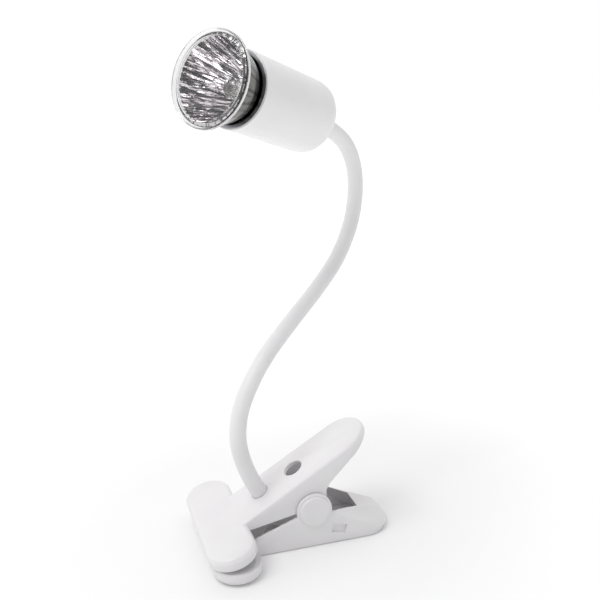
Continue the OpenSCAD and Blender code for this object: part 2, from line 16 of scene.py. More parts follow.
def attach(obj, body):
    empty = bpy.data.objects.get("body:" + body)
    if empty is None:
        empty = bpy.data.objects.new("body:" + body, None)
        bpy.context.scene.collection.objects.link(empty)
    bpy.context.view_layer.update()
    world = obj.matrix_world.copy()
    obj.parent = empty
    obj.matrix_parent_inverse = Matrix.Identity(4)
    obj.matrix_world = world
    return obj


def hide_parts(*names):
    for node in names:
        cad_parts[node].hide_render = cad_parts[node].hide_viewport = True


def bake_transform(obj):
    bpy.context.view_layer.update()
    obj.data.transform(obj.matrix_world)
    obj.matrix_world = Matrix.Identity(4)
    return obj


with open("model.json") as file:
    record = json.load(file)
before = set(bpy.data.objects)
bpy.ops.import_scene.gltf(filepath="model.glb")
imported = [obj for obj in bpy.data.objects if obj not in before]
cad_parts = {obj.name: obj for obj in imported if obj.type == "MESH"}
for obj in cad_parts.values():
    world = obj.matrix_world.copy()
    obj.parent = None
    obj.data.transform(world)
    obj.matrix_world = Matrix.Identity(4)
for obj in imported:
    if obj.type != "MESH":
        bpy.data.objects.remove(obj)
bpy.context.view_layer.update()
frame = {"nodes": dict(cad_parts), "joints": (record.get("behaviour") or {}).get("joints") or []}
MM = 0.001

# %% [markdown]
# ## Camera
# The lamp is seen from a little above and from the jaw side. The camera is given as a compass
# angle, an elevation and a distance from the point it looks at, because those three say at once
# where it stands. There is no depth of field.

# %% Camera
LOOK_AT = Vector((0.034, 0.0268, 0.1382))
COMPASS, ELEVATION, DISTANCE = math.radians(-18.2), math.radians(16), 0.48


def camera_axes(compass, elevation):
    """Right, up and backward directions of a camera that looks along +Y at compass 0."""
    right = Vector((math.cos(compass), math.sin(compass), 0))
    back = Vector((math.sin(compass) * math.cos(elevation),
                   -math.cos(compass) * math.cos(elevation), math.sin(elevation)))
    return right, back.cross(right), back


right, up, back = camera_axes(COMPASS, ELEVATION)
camera_data = bpy.data.cameras.new("studio_camera")
camera_data.lens = 48
camera_data.clip_start = 0.01
camera = bpy.data.objects.new("studio_camera", camera_data)
camera.matrix_world = Matrix.Translation(LOOK_AT + back * DISTANCE) @ Matrix(
    (right, up, back)).transposed().to_4x4()
bpy.context.collection.objects.link(camera)
bpy.context.scene.camera = camera
print("camera at", [round(c, 4) for c in camera.location])

# %% [markdown]
# ## Floor and light
# White plastic on a white ground needs soft light with a direction: a large lamp up on the left
# shapes the clip, a weak one fills from the front, and the surroundings are bright behind the
# lamp and greyer in front, so that the mirror of the bulb has something dark to show. The floor
# is plain under the lamp, where its shadow falls, and further out it glows with painted light,
# as a lit studio table looks.

# %% Floor
FLOOR_HALF, FLOOR_Z = 4.0, -0.0006
floor_mesh = bpy.data.meshes.new("floor")
floor_mesh.from_pydata([(x * FLOOR_HALF, y * FLOOR_HALF, FLOOR_Z)
                        for x, y in ((-1, -1), (1, -1), (1, 1), (-1, 1))], [], [(0, 1, 2, 3)])
floor = bpy.data.objects.new("floor", floor_mesh)
bpy.context.collection.objects.link(floor)
floor_white = bpy.data.materials.new("floor_white")
floor_white.use_nodes = True
floor_shader = floor_white.node_tree.nodes["Principled BSDF"]
floor_shader.inputs["Base Color"].default_value = (0.87, 0.87, 0.87, 1)
floor_shader.inputs["Roughness"].default_value = 0.9
floor_shader.inputs["Specular IOR Level"].default_value = 0.1
floor_shader.inputs["Emission Color"].default_value = (1, 1, 1, 1)
floor_tree = floor_white.node_tree
floor_place = floor_tree.nodes.new("ShaderNodeTexCoord")
floor_reach = floor_tree.nodes.new("ShaderNodeVectorMath")
floor_reach.operation = "LENGTH"
# Painted light: the floor's emission grows with distance from its middle, under the lamp.
floor_painted_glow = floor_tree.nodes.new("ShaderNodeMapRange")
PAINTED_GLOW = {"From Min": 0.1, "From Max": 0.5, "To Min": 0.03, "To Max": 0.36}
for socket, value in PAINTED_GLOW.items():
    floor_painted_glow.inputs[socket].default_value = value
floor_tree.links.new(floor_place.outputs["Object"], floor_reach.inputs[0])
floor_tree.links.new(floor_reach.outputs["Value"], floor_painted_glow.inputs["Value"])
floor_tree.links.new(floor_painted_glow.outputs["Result"], floor_shader.inputs["Emission Strength"])
floor_mesh.materials.append(floor_white)
print("floor", 2 * FLOOR_HALF, "m wide,", round(-FLOOR_Z / MM, 2), "mm under the lamp")

# %% Surroundings and lamps
world = bpy.data.worlds.new("studio")
bpy.context.scene.world = world
world.use_nodes = True
sky = world.node_tree
direction = sky.nodes.new("ShaderNodeTexCoord")
split = sky.nodes.new("ShaderNodeSeparateXYZ")
ramp = sky.nodes.new("ShaderNodeValToRGB")
sky.links.new(direction.outputs["Generated"], split.inputs[0])
depth = sky.nodes.new("ShaderNodeMapRange")
depth.inputs["From Min"].default_value = -1
sky.links.new(split.outputs["Y"], depth.inputs["Value"])
sky.links.new(depth.outputs["Result"], ramp.inputs["Fac"])
front, behind = ramp.color_ramp.elements
front.position, front.color = 0.06, (0.46, 0.46, 0.47, 1)
behind.position, behind.color = 0.72, (1.06, 1.06, 1.06, 1)
sky.links.new(ramp.outputs["Color"], sky.nodes["Background"].inputs["Color"])
sky.nodes["Background"].inputs["Strength"].default_value = 0.95


def soft_lamp(name, place, size, power):
    """A square area lamp that looks at the middle of the reading lamp."""
    data = bpy.data.lights.new(name, "AREA")
    data.size = size
    data.energy = power
    lamp = bpy.data.objects.new(name, data)
    lamp.location = place
    lamp.rotation_euler = (LOOK_AT - Vector(place)).to_track_quat("-Z", "Y").to_euler()
    bpy.context.collection.objects.link(lamp)
    return lamp


soft_lamp("key_softbox", (-0.65, -0.25, 1.25), 0.7, 7.0)
soft_lamp("fill_softbox", (0.35, -1.25, 0.5), 0.8, 0.7)
bpy.context.scene.view_settings.view_transform = "Standard"
print("two softboxes and a bright surround")

# %% [markdown]
# ## The path of the gooseneck
# The neck is one flexible tube that leaves the arm square to its top face, bends over into an
# upright plane, climbs, and curls back so that the head faces the reader. It is laid out as nine
# equal lengths that each bend by their own angle. A chain of turn matrices gives a frame at any
# point of it, and the same frames place everything in the head.

# %% Frames along the neck
ARM_SLOPE, NECK_TURN, NECK_LEAN = 31, 35, 15
ROOT_HEIGHT = 30 * MM
LENGTH = 33.3 * MM
BENDS = [0, 52, 21, 4, -6, -26, -38, -52, -15]
SLEEVE_R = 4.9 * MM


def turn(degrees, axis):
    """A turn about one axis, as a matrix."""
    return Matrix.Rotation(math.radians(degrees), 4, axis)


def bent(length, degrees):
    """Frame after a length that bends by some degrees towards its own +X."""
    if abs(degrees) < 1e-6:
        return Matrix.Translation((0, 0, length))
    radius = length / math.radians(abs(degrees))
    angle = math.radians(abs(degrees))
    side = math.copysign(radius * (1 - math.cos(angle)), degrees)
    return Matrix.Translation((side, 0, radius * math.sin(angle))) @ turn(degrees, "Y")


foot_dir = (turn(-ARM_SLOPE, "Y") @ Vector((0, 0, 1))).normalized()
rise_turn = turn(NECK_TURN, "Z") @ turn(-NECK_LEAN, "Y")
rise_dir = (rise_turn @ Vector((0, 0, 1))).normalized()
BENDS[0] = math.degrees(foot_dir.angle(rise_dir))
foot_axis = foot_dir.cross(rise_dir).normalized()
foot = Matrix((foot_axis.cross(foot_dir), foot_axis, foot_dir)).transposed().to_4x4()
foot.translation = (0, 0, ROOT_HEIGHT)
frames = [foot]
rise = rise_turn.copy()
rise.translation = (foot @ bent(LENGTH, BENDS[0])).translation
frames.append(rise)
for bend in BENDS[1:]:
    frames.append(frames[-1] @ bent(LENGTH, bend))
HEAD = frames[-1]
hinges = {j["child"]: Vector(j["pos_m"]) for j in frame["joints"] if j["child"].startswith("neck_")}
miss = max((hinges[f"neck_{k}"] - frames[k].translation).length for k in range(1, 8))
print(f"neck path misses the frame's hinges by at most {miss / MM:.3f} mm")


def neck_frame(where):
    """Frame at a place on the neck, counted in lengths from the foot."""
    k = min(int(where), len(BENDS) - 1)
    return frames[k] @ bent(LENGTH * (where - k), BENDS[k] * (where - k))


# %% [markdown]
# ## Helpers for meshes
# Turned parts are made by carrying an outline round an axis. The outline's corners are eased with
# small arcs first, because no moulded or turned edge is perfectly sharp. Edges that turn by more
# than a set angle are marked sharp, which keeps flat faces flat under smooth shading.

# %% Mesh helpers
def add_object(name, mesh, place=None):
    """A new object at the origin; place moves the mesh itself."""
    if place is not None:
        mesh.transform(place)
    obj = bpy.data.objects.new(name, mesh)
    bpy.context.collection.objects.link(obj)
    return obj


def shade(mesh, degrees=35):
    """Smooth faces, with the edges that turn more than this kept sharp."""
    bm = bmesh.new()
    bm.from_mesh(mesh)
    for face in bm.faces:
        face.smooth = True
    for edge in bm.edges:
        edge.smooth = len(edge.link_faces) != 2 or edge.calc_face_angle(0) < math.radians(degrees)
    bm.to_mesh(mesh)
    bm.free()
    return mesh


def eased(outline, steps=4):
    """Points of a closed outline [(r, z, ease radius), ...] with an arc at each eased corner."""
    points = []
    for i, (r, z, ease) in enumerate(outline):
        here = Vector((r, z))
        before = Vector(outline[i - 1][:2]) - here
        after = Vector(outline[(i + 1) % len(outline)][:2]) - here
        if ease <= 0:
            points.append(here)
            continue
        reach = min(ease / math.tan(before.angle(after) / 2), before.length * 0.49,
                    after.length * 0.49)
        start, end = here + before.normalized() * reach, here + after.normalized() * reach
        for s in range(steps + 1):
            t = s / steps
            points.append((1 - t) ** 2 * start + 2 * t * (1 - t) * here + t * t * end)
    return points


def lathe(name, outline, place, steps=96, degrees=35):
    """Turns a closed outline in millimetres, (r, z) or (r, z, ease), about z."""
    points = eased([(*p, 0) if len(p) == 2 else p for p in outline])
    bm = bmesh.new()
    rings = []
    for r, z in points:
        if r < 1e-6:
            rings.append([bm.verts.new((0, 0, z * MM))] * steps)
            continue
        rings.append([bm.verts.new((r * MM * math.cos(math.tau * s / steps),
                                    r * MM * math.sin(math.tau * s / steps), z * MM))
                      for s in range(steps)])
    for i, ring in enumerate(rings):
        other = rings[(i + 1) % len(rings)]
        for s in range(steps):
            t = (s + 1) % steps
            corners = list(dict.fromkeys((ring[s], ring[t], other[t], other[s])))
            if len(corners) > 2:
                bm.faces.new(corners)
    bmesh.ops.recalc_face_normals(bm, faces=bm.faces)
    mesh = bpy.data.meshes.new(name)
    bm.to_mesh(mesh)
    bm.free()
    return add_object(name, shade(mesh, degrees), place)


WELD_DISTANCE = 3e-6
FLAT_ENOUGH = math.radians(0.6)


def merged_copy(node, name, degrees=35, soften=0.0):
    """A copy of a node's mesh with its triangles joined and, if asked, its edges rounded."""
    mesh = frame["nodes"][node].data.copy()
    mesh.name = name
    bm = bmesh.new()
    bm.from_mesh(mesh)
    bmesh.ops.remove_doubles(bm, verts=bm.verts, dist=WELD_DISTANCE)
    bmesh.ops.dissolve_limit(bm, angle_limit=FLAT_ENOUGH, verts=bm.verts, edges=bm.edges)
    if soften:
        sharp = [e for e in bm.edges if len(e.link_faces) == 2
                 and e.calc_face_angle(0) > math.radians(degrees) and e.calc_length() > 2 * soften]
        bmesh.ops.bevel(bm, geom=sharp, offset=soften, segments=2, profile=0.5,
                        affect="EDGES", clamp_overlap=True)
    bm.to_mesh(mesh)
    bm.free()
    mesh.materials.clear()
    return add_object(name, shade(mesh, degrees))


def dress(obj, body, material, slot, *nodes):
    """Gives a finished piece its material, hides the nodes it stands for, and attaches it to its
    body when the body is a name, else bakes its placing into its mesh. The slot is not used.
    """
    obj.data.materials.clear()
    obj.data.materials.append(material)
    if isinstance(body, str):
        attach(obj, body)
    else:
        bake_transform(obj)
    if nodes:
        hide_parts(*nodes)
    return obj


print("helpers ready")

# %% [markdown]
# ## A tube along a path
# Wires, leads and the neck's sleeve are all a round section that follows a line. A small Geometry
# Nodes tree does it: the line becomes a curve, a circle is carried along it, and the ends are
# closed if asked. The radius and the number of sides are named inputs, so one tree serves a
# hair-thin filament and the thick sleeve.

# %% Tube tree
def tube_tree():
    """The tree that carries a round section along a path."""
    tree = bpy.data.node_groups.new("tube_along_path", "GeometryNodeTree")
    face = tree.interface
    face.new_socket("Path", in_out="INPUT", socket_type="NodeSocketGeometry")
    face.new_socket("Radius", in_out="INPUT", socket_type="NodeSocketFloat")
    face.new_socket("Sides", in_out="INPUT", socket_type="NodeSocketInt")
    face.new_socket("Closed ends", in_out="INPUT", socket_type="NodeSocketBool")
    face.new_socket("Finish", in_out="INPUT", socket_type="NodeSocketMaterial")
    face.new_socket("Tube", in_out="OUTPUT", socket_type="NodeSocketGeometry")
    node = tree.nodes.new
    given, result = node("NodeGroupInput"), node("NodeGroupOutput")
    curve, circle = node("GeometryNodeMeshToCurve"), node("GeometryNodeCurvePrimitiveCircle")
    carry = node("GeometryNodeCurveToMesh")
    realize, finish = node("GeometryNodeRealizeInstances"), node("GeometryNodeSetMaterial")
    link = tree.links.new
    link(given.outputs["Path"], curve.inputs["Mesh"])
    link(given.outputs["Radius"], circle.inputs["Radius"])
    link(given.outputs["Sides"], circle.inputs["Resolution"])
    link(curve.outputs[0], carry.inputs["Curve"])
    link(circle.outputs["Curve"], carry.inputs["Profile Curve"])
    link(given.outputs["Closed ends"], carry.inputs["Fill Caps"])
    link(carry.outputs["Mesh"], realize.inputs[0])
    link(realize.outputs[0], finish.inputs["Geometry"])
    link(given.outputs["Finish"], finish.inputs["Material"])
    link(finish.outputs[0], result.inputs["Tube"])
    return tree


TUBE = tube_tree()


def thicken(obj, thickness, offset):
    """Gives an open surface a wall and makes the result the object's own mesh."""
    wall = obj.modifiers.new("wall", "SOLIDIFY")
    wall.thickness = thickness
    wall.offset = offset
    evaluated = obj.evaluated_get(bpy.context.evaluated_depsgraph_get())
    solid = bpy.data.meshes.new_from_object(evaluated)
    obj.modifiers.clear()
    obj.data = solid


def run_tree(name, mesh, tree, **values):
    """Evaluates a tree on a mesh and returns the result as a plain mesh."""
    carrier = add_object(name + "_source", mesh)
    modifier = carrier.modifiers.new("tree", "NODES")
    modifier.node_group = tree
    for item in tree.interface.items_tree:
        key = item.name.lower().replace(" ", "_")
        if item.in_out == "INPUT" and key in values:
            modifier[item.identifier] = values[key]
    bpy.context.view_layer.update()
    evaluated = carrier.evaluated_get(bpy.context.evaluated_depsgraph_get())
    result = bpy.data.meshes.new_from_object(evaluated)
    result.name = name
    bpy.data.objects.remove(carrier)
    return result


def tube(name, points, radius, material, sides=16):
    """A round wire along points in the lamp's frame, closed at its ends."""
    path = bpy.data.meshes.new(name + "_path")
    path.from_pydata(points, [(i, i + 1) for i in range(len(points) - 1)], [])
    mesh = run_tree(name, path, TUBE, radius=radius, sides=sides, closed_ends=True,
                    finish=material)
    return add_object(name, shade(mesh))


print("tube tree has", len(TUBE.nodes), "nodes")

# %% [markdown]
# ## Finishes
# Moulded plastic is never quite even: it has a very fine grain from the tool, slow changes of
# gloss and a faint warmth where it is thick. Each finish is therefore a principled shader whose
# colour, roughness and bump are driven by noise at the scale of the real surface. Numbers that
# are the same everywhere are set on the shader's own sockets.

# %% Material helpers
def finish(name, color, roughness, metallic=0.0, **sockets):
    """A material with its base values; further sockets are given by name."""
    material = bpy.data.materials.new(name)
    material.use_nodes = True
    shader = material.node_tree.nodes["Principled BSDF"]
    shader.inputs["Base Color"].default_value = (*color, 1)
    shader.inputs["Roughness"].default_value = roughness
    shader.inputs["Metallic"].default_value = metallic
    for socket, value in sockets.items():
        shader.inputs[socket.replace("_", " ")].default_value = value
    return material


def noise(material, scale, detail=3, stretch=(1, 1, 1)):
    """A noise pattern on the piece's own coordinates; scale is in cells per metre."""
    tree = material.node_tree
    place, mapping = tree.nodes.new("ShaderNodeTexCoord"), tree.nodes.new("ShaderNodeMapping")
    pattern = tree.nodes.new("ShaderNodeTexNoise")
    mapping.inputs["Scale"].default_value = stretch
    pattern.inputs["Scale"].default_value = scale
    pattern.inputs["Detail"].default_value = detail
    tree.links.new(place.outputs["Object"], mapping.inputs["Vector"])
    tree.links.new(mapping.outputs["Vector"], pattern.inputs["Vector"])
    return pattern.outputs["Fac"]


def vary_colour(material, fac, low, high):
    """Colour runs from low to high with a pattern."""
    tree = material.node_tree
    ramp = tree.nodes.new("ShaderNodeValToRGB")
    first, last = ramp.color_ramp.elements
    first.position, first.color = 0.3, (*low, 1)
    last.position, last.color = 0.7, (*high, 1)
    tree.links.new(fac, ramp.inputs["Fac"])
    tree.links.new(ramp.outputs["Color"], tree.nodes["Principled BSDF"].inputs["Base Color"])


def vary_gloss(material, fac, low, high):
    """Roughness runs from low to high with a pattern."""
    tree = material.node_tree
    spread = tree.nodes.new("ShaderNodeMapRange")
    spread.inputs["From Min"].default_value = 0.3
    spread.inputs["From Max"].default_value = 0.7
    spread.inputs["To Min"].default_value = low
    spread.inputs["To Max"].default_value = high
    tree.links.new(fac, spread.inputs["Value"])
    tree.links.new(spread.outputs["Result"], tree.nodes["Principled BSDF"].inputs["Roughness"])


def raise_grain(material, fac, height, strength=1.0):
    """Bump of a given height in metres."""
    tree = material.node_tree
    bump = tree.nodes.new("ShaderNodeBump")
    bump.inputs["Distance"].default_value = height
    bump.inputs["Strength"].default_value = strength
    tree.links.new(fac, bump.inputs["Height"])
    tree.links.new(bump.outputs["Normal"], tree.nodes["Principled BSDF"].inputs["Normal"])


def painted_reflection_streaks(material, columns, rows, low, high, painted_shade_swing=(0, 0), side=0.0):
    """Painted reflection streaks up the wall of a round piece, from its UV map: the first value
    goes round, the second up. Its painted shade amounts make one side, or one side and the opposite
    one, darker."""
    tree = material.node_tree
    place, parts = tree.nodes.new("ShaderNodeTexCoord"), tree.nodes.new("ShaderNodeSeparateXYZ")
    spread, pattern = tree.nodes.new("ShaderNodeMapping"), tree.nodes.new("ShaderNodeTexNoise")
    spread.inputs["Scale"].default_value = (columns, rows, 1)
    pattern.inputs["Scale"].default_value = 1
    pattern.inputs["Detail"].default_value = 1
    tree.links.new(place.outputs["UV"], spread.inputs["Vector"])
    tree.links.new(place.outputs["UV"], parts.inputs[0])
    tree.links.new(spread.outputs["Vector"], pattern.inputs["Vector"])
    value = pattern.outputs["Fac"]
    # Painted shade: a wave round the piece darkens one side, or one side and its opposite.
    for waves, amount in zip((1, 2), painted_shade_swing):
        wave = parts.outputs["X"]
        for operation, number in (("SUBTRACT", side), ("MULTIPLY", math.tau * waves),
                                  ("COSINE", 0), ("MULTIPLY", -amount), ("ADD", None)):
            step = tree.nodes.new("ShaderNodeMath")
            step.operation = operation
            tree.links.new(wave, step.inputs[0])
            if number is None:
                tree.links.new(value, step.inputs[1])
            else:
                step.inputs[1].default_value = number
            wave = step.outputs[0]
        value = wave
    # The streaks are painted reflections, dark and light bands in the base colour.
    edge = tree.nodes.new("ShaderNodeValToRGB")
    dark, light = edge.color_ramp.elements
    dark.position, dark.color = 0.44, (*low, 1)
    light.position, light.color = 0.49, (*high, 1)
    tree.links.new(value, edge.inputs["Fac"])
    tree.links.new(edge.outputs["Color"], tree.nodes["Principled BSDF"].inputs["Base Color"])
    return material


def worn_surface(material, low, high, gloss, grain_scale, grain_height, stretch=(1, 1, 1)):
    """The usual set: slow colour change, slow gloss change and a fine grain."""
    vary_colour(material, noise(material, 45), low, high)
    vary_gloss(material, noise(material, 160, stretch=stretch), *gloss)
    raise_grain(material, noise(material, grain_scale, 2, stretch), grain_height)
    return material


print("helpers for finishes ready")

# %% Plastic, rubber and ceramic finishes
clip_plastic = worn_surface(finish("clip_plastic", (0.76, 0.745, 0.755), 0.42),
                            (0.745, 0.73, 0.74), (0.775, 0.765, 0.77), (0.36, 0.48), 2600, 2.5e-5)
head_plastic = worn_surface(finish("head_plastic", (0.77, 0.76, 0.765), 0.34),
                            (0.755, 0.745, 0.75), (0.785, 0.775, 0.78), (0.28, 0.38), 3200, 1.2e-5)
sleeve_plastic = worn_surface(finish("sleeve_plastic", (0.75, 0.742, 0.748), 0.5),
                              (0.735, 0.727, 0.735), (0.765, 0.757, 0.76), (0.42, 0.56),
                              1800, 3e-5, (1, 1, 0.4))
jaw_rubber = worn_surface(finish("jaw_rubber", (0.6, 0.6, 0.6), 0.75),
                          (0.55, 0.55, 0.55), (0.64, 0.64, 0.64), (0.68, 0.85), 1500, 6e-5)
lead_cover = worn_surface(finish("lead_cover", (0.8, 0.78, 0.72), 0.55),
                          (0.76, 0.74, 0.68), (0.83, 0.81, 0.75), (0.5, 0.65), 1400, 4e-5)
steatite = worn_surface(finish("steatite", (0.82, 0.79, 0.73), 0.65),
                        (0.78, 0.75, 0.69), (0.85, 0.83, 0.77), (0.6, 0.75), 1700, 5e-5)
print(len(bpy.data.materials), "materials so far, the floor's among them")

# %% Metal finishes
zinc_steel = worn_surface(finish("zinc_steel", (0.62, 0.63, 0.65), 0.35, 1.0),
                          (0.56, 0.58, 0.61), (0.68, 0.68, 0.69), (0.26, 0.42), 900, 1e-5)
spring_wire = worn_surface(finish("spring_wire", (0.55, 0.55, 0.57), 0.25, 1.0),
                           (0.48, 0.48, 0.5), (0.6, 0.6, 0.62), (0.18, 0.32), 1500, 1e-5)
liner_metal = worn_surface(finish("liner_metal", (0.46, 0.46, 0.48), 0.36, 1.0),
                           (0.42, 0.42, 0.44), (0.52, 0.52, 0.54), (0.3, 0.44), 1100, 1e-5)
contact_brass = worn_surface(finish("contact_brass", (0.78, 0.6, 0.3), 0.3, 1.0),
                             (0.7, 0.52, 0.25), (0.84, 0.68, 0.38), (0.22, 0.38), 1200, 1e-5)
pin_nickel = worn_surface(finish("pin_nickel", (0.68, 0.66, 0.62), 0.28, 1.0),
                          (0.62, 0.6, 0.57), (0.74, 0.72, 0.68), (0.2, 0.34), 1200, 1e-5)
tungsten = worn_surface(finish("tungsten", (0.3, 0.29, 0.28), 0.35, 1.0),
                        (0.24, 0.23, 0.23), (0.36, 0.35, 0.34), (0.3, 0.42), 9000, 2e-6)
print(len(bpy.data.materials), "materials with the metals")

# %% Mirror and glass finishes
# The mirror is painted darker towards this side of the head: painted shade on its painted
# reflections.
shaded_side = HEAD.to_3x3().inverted() @ Vector((0.74, -0.05, 0.66))
shaded_turn = math.atan2(shaded_side.y, shaded_side.x) / math.tau
# The mirror's colour runs in streaks from near black to near white: painted reflections, not a
# colour of the coat.
mirror = finish("bulb_mirror", (0.8, 0.77, 0.79), 0.03, 1.0)
painted_reflection_streaks(mirror, 75, 1.8, (0.06, 0.057, 0.06), (0.96, 0.93, 0.95), (0.06, 0.03), shaded_turn)
vary_gloss(mirror, noise(mirror, 160), 0.01, 0.06)
clear_glass = finish("clear_glass", (0.93, 0.93, 0.93), 0.02, Transmission_Weight=1.0, IOR=1.47)
vary_gloss(clear_glass, noise(clear_glass, 500), 0.0, 0.04)
# The back of the bowl is dark glass whose light streaks are painted reflections.
smoked_glass = finish("smoked_glass", (0.2, 0.2, 0.19), 0.14, 1.0)
painted_reflection_streaks(smoked_glass, 60, 1.2, (0.03, 0.03, 0.027), (0.12, 0.12, 0.11))
vary_gloss(smoked_glass, noise(smoked_glass, 160), 0.08, 0.2)
quartz = finish("quartz", (0.98, 0.98, 0.985), 0.02, Transmission_Weight=1.0, IOR=1.46)
raise_grain(quartz, noise(quartz, 220, 1), 6e-5)
print(len(bpy.data.materials), "materials in all")

# %% [markdown]
# ## The two clip halves
# Both halves are injection-moulded levers: a long jaw bar at the front, side walls that hold the
# pivot, and a handle. Their shapes come from the measured frame; the copies here have their
# triangles joined and their edges broken by a fraction of a millimetre, as a mould leaves them,
# which is what catches the light.

# %% Clip halves
MOULD_EASE = 0.25 * MM
upper_half = merged_copy("upper_arm", "clip_half_upper", 30, MOULD_EASE)
dress(upper_half, "upper_clip", clip_plastic, "white_plastic", "upper_arm")
lower_half = merged_copy("lower_arm", "clip_half_lower", 30, MOULD_EASE)
dress(lower_half, "lower_clip", clip_plastic, "white_plastic", "lower_arm")
print("clip halves:", len(upper_half.data.polygons), len(lower_half.data.polygons), "faces")

# %% [markdown]
# ## Pivot caps
# A round cap hides each end of the pivot pin. It is a shallow disc with an eased rim and a very
# slightly raised middle, so it is turned from an outline.

# %% Pivot caps
PIVOT = Vector((28 * MM, 0, 22.7 * MM))
CLIP_HALF_WIDTH = 19.3 * MM
CAP_R, PIN_SEAT_R, PIN_SEAT_DEEP = 9.2, 2.05, 0.65
CAP_OUTLINE = [(PIN_SEAT_R, 0, 0), (CAP_R, 0, 0.1), (CAP_R, 1.4, 0.7), (6.5, 1.46, 0.5),
               (0, 1.5, 0), (0, PIN_SEAT_DEEP, 0), (PIN_SEAT_R, PIN_SEAT_DEEP, 0)]
for side, name in ((-1, "pivot_cap_near"), (1, "pivot_cap_far")):
    ear = PIVOT + Vector((0, side * CLIP_HALF_WIDTH, 0))
    cap = lathe(name, CAP_OUTLINE, Matrix.Translation(ear) @ turn(-side * 90, "X"), 72)
    dress(cap, "lower_clip", clip_plastic, "white_plastic", "pivot_caps")
print("pivot caps at", [round(c / MM, 1) for c in PIVOT])

# %% [markdown]
# ## Torsion spring
# The clip closes by a spring wound round the pivot pin, with one leg against each handle. A helix
# is a formula, so its points are worked out in a loop and the tube tree gives it its thickness.

# %% Torsion spring
WIRE_R, COIL_R, PITCH = 0.8 * MM, 3.8 * MM, 1.68 * MM
TURNS, STEPS_PER_TURN = 7, 20
LEG_DOWN, LEG_UP = (26 * MM, -19.2 * MM), (18.4 * MM, 31.1 * MM)
TWIST_FROM, TWIST_TO = 1 * MM, 8 * MM
half_coil = PITCH * TURNS / 2


def coil_point(i):
    """Point i of the spring's helix, seen from the pivot."""
    angle = math.tau * i / STEPS_PER_TURN
    return Vector((COIL_R * math.cos(angle), PITCH * i / STEPS_PER_TURN - half_coil,
                   COIL_R * math.sin(angle)))


spring_points = [PIVOT + Vector((LEG_DOWN[0], -half_coil, LEG_DOWN[1]))]
spring_points += [PIVOT + coil_point(i) for i in range(TURNS * STEPS_PER_TURN + 1)]
spring_points.append(PIVOT + Vector((LEG_UP[0], half_coil, LEG_UP[1])))
spring = tube("torsion_spring", spring_points, WIRE_R, spring_wire, 10)
dress(spring, ("lower_clip", "upper_clip", PIVOT + Vector((0, 0, TWIST_FROM)),
               PIVOT + Vector((0, 0, TWIST_TO))), spring_wire, "spring_steel", "clip_spring")
print("spring wire has", len(spring.data.polygons), "faces")

# %% [markdown]
# ## Gooseneck
# The sleeve is soft plastic tube over a close-wound steel coil, with two leads inside. It bends
# everywhere, while the frame bends at eight places. So each piece of sleeve runs from the middle
# of one length to the middle of the next, curving smoothly across the hinge between them. The
# whole sleeve is made once and cut there: the joins fall where nothing moves and the cut edges
# match, so the tube looks whole.

# %% Gooseneck pieces
CHAIN = ["upper_clip"] + [f"neck_{k}" for k in range(1, 8)] + ["head"]
POINTS_PER_LENGTH = 24
BEND_REACH = 14 * MM
SLEEVE_WALL, SLEEVE_SIDES, SLEEVE_SUNK = 1.0 * MM, 48, 0.6 * MM
COIL_WIRE_R = 0.6 * MM
CORE_R = 3.8 * MM
LEAD_R, LEAD_OFFSET = 0.95 * MM, 1.1 * MM
END_GAP = 0.1 * MM
GAP_AT_ENDS = END_GAP / LENGTH
NIPPLE_REACH = 3 * MM / LENGTH
WINDS = LENGTH / (2.15 * COIL_WIRE_R)


def cut_sleeve(whole, name, first, last):
    """Rings first..last of the whole sleeve as a mesh of its own."""
    n = SLEEVE_SIDES
    mesh = bpy.data.meshes.new(name)
    points = [v.co.copy() for v in whole.vertices[first * n:(last + 1) * n]]
    faces = [(i * n + s, i * n + (s + 1) % n, (i + 1) * n + (s + 1) % n, (i + 1) * n + s)
             for i in range(last - first) for s in range(n)]
    mesh.from_pydata(points, [], faces)
    return mesh


def walled(mesh, name):
    """A hollow length of sleeve: the open tube mesh gets a wall on its inside."""
    bm = bmesh.new()
    bm.from_mesh(mesh)
    bmesh.ops.recalc_face_normals(bm, faces=bm.faces)
    bm.verts.ensure_lookup_table()
    middle = sum((v.co for v in bm.verts[:SLEEVE_SIDES]), Vector()) / SLEEVE_SIDES
    bm.faces.ensure_lookup_table()
    if bm.faces[0].normal.dot(bm.faces[0].calc_center_median() - middle) < 0:
        bmesh.ops.reverse_faces(bm, faces=bm.faces)
    bm.to_mesh(mesh)
    bm.free()
    obj = add_object(name, mesh)
    thicken(obj, SLEEVE_WALL, -1)
    shade(obj.data, 50)
    return obj


def across_hinge(k):
    """Bodies and turning stretch of a piece that crosses hinge k."""
    middle, along = frames[k].translation, frames[k].to_3x3() @ Vector((0, 0, 1))
    return CHAIN[k - 1], CHAIN[k], middle - along * BEND_REACH, middle + along * BEND_REACH


def stretch_of(k, trim=0.0):
    """Where piece k starts and ends along the neck, in lengths."""
    start = GAP_AT_ENDS + trim if k == 1 else k - 0.5
    end = len(BENDS) - GAP_AT_ENDS - trim if k == 8 else k + 0.5
    return start, end


def neck_points(start, end, radius=0.0, twist=0.0, count=POINTS_PER_LENGTH, phase=0.0):
    """Points along the neck, off its middle by a radius that may wind round it."""
    n = max(2, round((end - start) * count))
    points = []
    for i in range(n + 1):
        where = start + (end - start) * i / n
        angle = phase + math.tau * where * twist
        off_middle = Vector((radius * math.cos(angle), radius * math.sin(angle), 0))
        points.append(neck_frame(where) @ off_middle)
    return points


